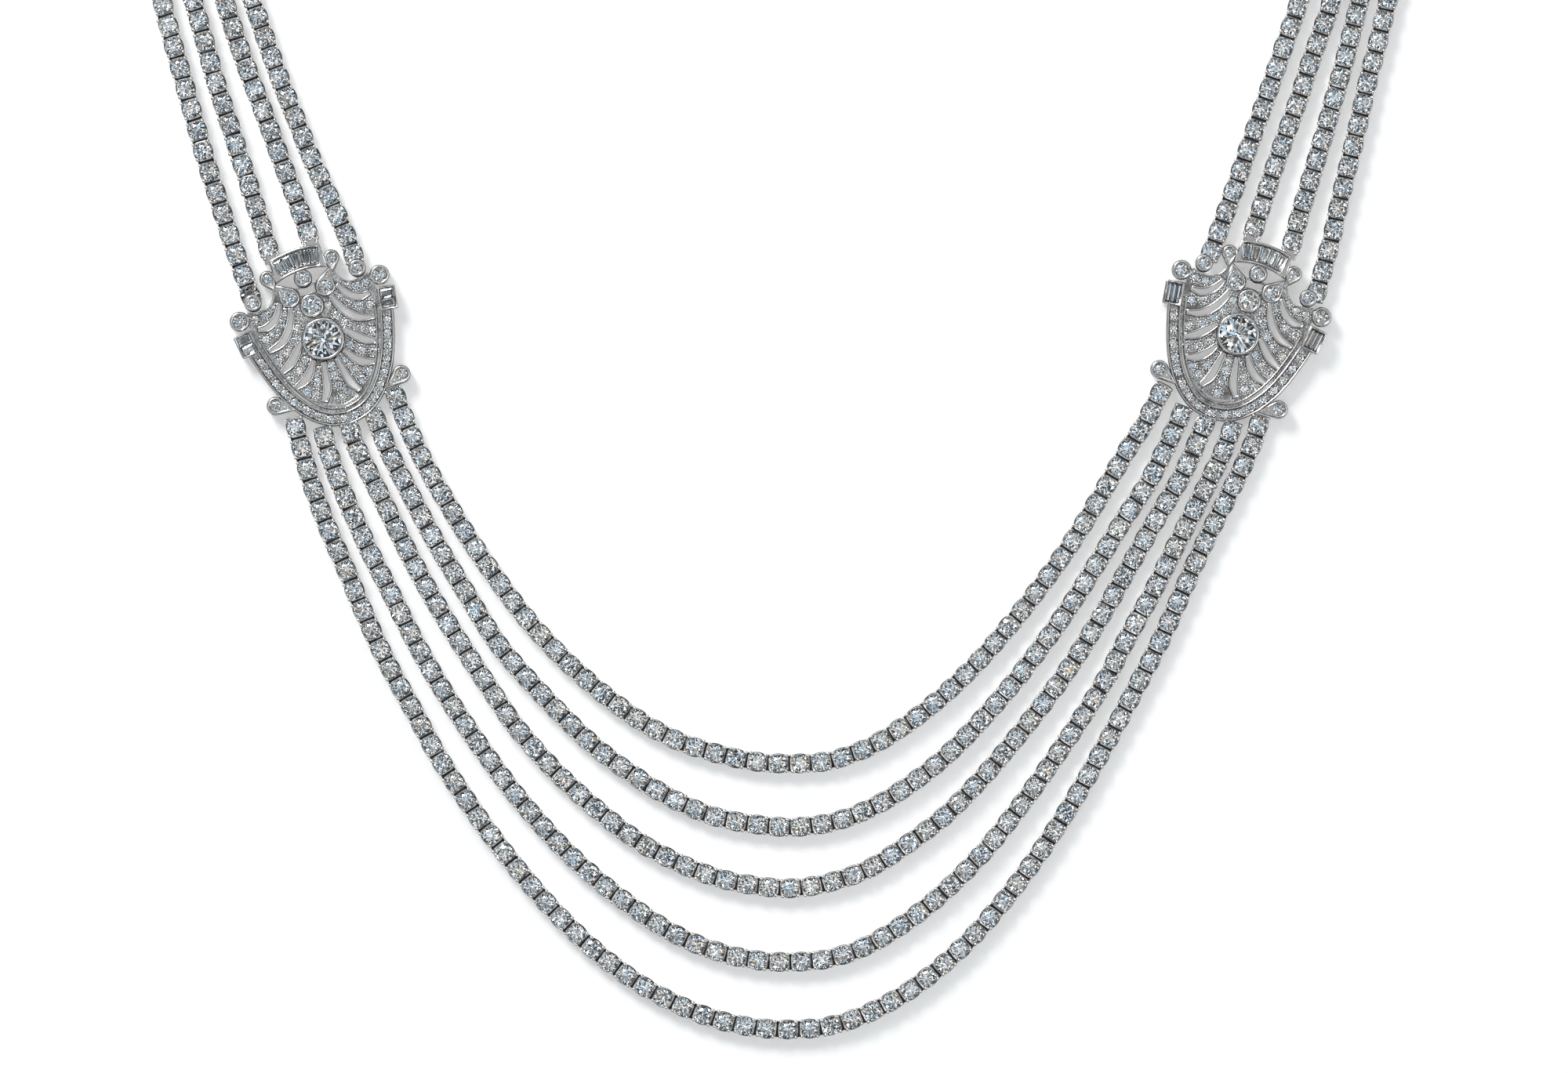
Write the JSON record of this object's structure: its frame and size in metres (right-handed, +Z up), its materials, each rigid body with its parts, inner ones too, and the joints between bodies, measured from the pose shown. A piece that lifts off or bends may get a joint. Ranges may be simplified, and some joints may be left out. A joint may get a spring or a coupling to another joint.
{
  "type": "diamond necklace",
  "caption": "Flat-lying diamond necklace: curved front rows of round stones between two pierced shield plaques, rows up each side to a plain bar clasp.",
  "frame": {"origin": "on the surface that the necklace lies on, in the middle of its outline", "axes": "+Z up from that surface, through the stones' tables; +Y from the front rows to the clasp; +X to the right as the picture shows it"},
  "size_m": [0.1632, 0.1878, 0.0034],
  "materials": {
    "white_gold": "polished",
    "stone_row": "polished claws and cut stones",
    "diamond": "cut and polished"
  },
  "bodies": {
    "root": {"front_row_1": "stone_row", "front_row_2": "stone_row", "front_row_3": "stone_row", "front_row_4": "stone_row", "front_row_5": "stone_row", "left_row_1": "stone_row", "left_row_2": "stone_row", "left_row_3": "stone_row", "left_row_4": "stone_row", "right_row_1": "stone_row", "right_row_2": "stone_row", "right_row_3": "stone_row", "right_row_4": "stone_row", "left_plaque_frame": "white_gold", "left_centre_stone": "diamond", "left_upper_stone": "diamond", "left_top_stone": "diamond", "left_outer_pear_stone": "diamond", "left_inner_pear_stone": "diamond", "left_outer_arch_collet_stone": "diamond", "left_inner_arch_collet_stone": "diamond", "left_outer_shoulder_stone": "diamond", "left_inner_shoulder_stone": "diamond", "left_outer_row_collet_stone": "diamond", "left_inner_row_collet_stone": "diamond", "left_outer_drop_stone": "diamond", "left_inner_drop_stone": "diamond", "left_arch_baguettes": "diamond", "left_outer_box_baguettes": "diamond", "left_inner_box_baguettes": "diamond", "left_border_stones": "diamond", "left_outer_fan_stones": "diamond", "left_middle_fan_stones": "diamond", "left_inner_fan_stones": "diamond", "right_plaque_frame": "white_gold", "right_centre_stone": "diamond", "right_upper_stone": "diamond", "right_top_stone": "diamond", "right_outer_pear_stone": "diamond", "right_inner_pear_stone": "diamond", "right_outer_arch_collet_stone": "diamond", "right_inner_arch_collet_stone": "diamond", "right_outer_shoulder_stone": "diamond", "right_inner_shoulder_stone": "diamond", "right_outer_row_collet_stone": "diamond", "right_inner_row_collet_stone": "diamond", "right_outer_drop_stone": "diamond", "right_inner_drop_stone": "diamond", "right_arch_baguettes": "diamond", "right_outer_box_baguettes": "diamond", "right_inner_box_baguettes": "diamond", "right_border_stones": "diamond", "right_outer_fan_stones": "diamond", "right_middle_fan_stones": "diamond", "right_inner_fan_stones": "diamond", "clasp": "white_gold"}
  },
  "joints": []
}
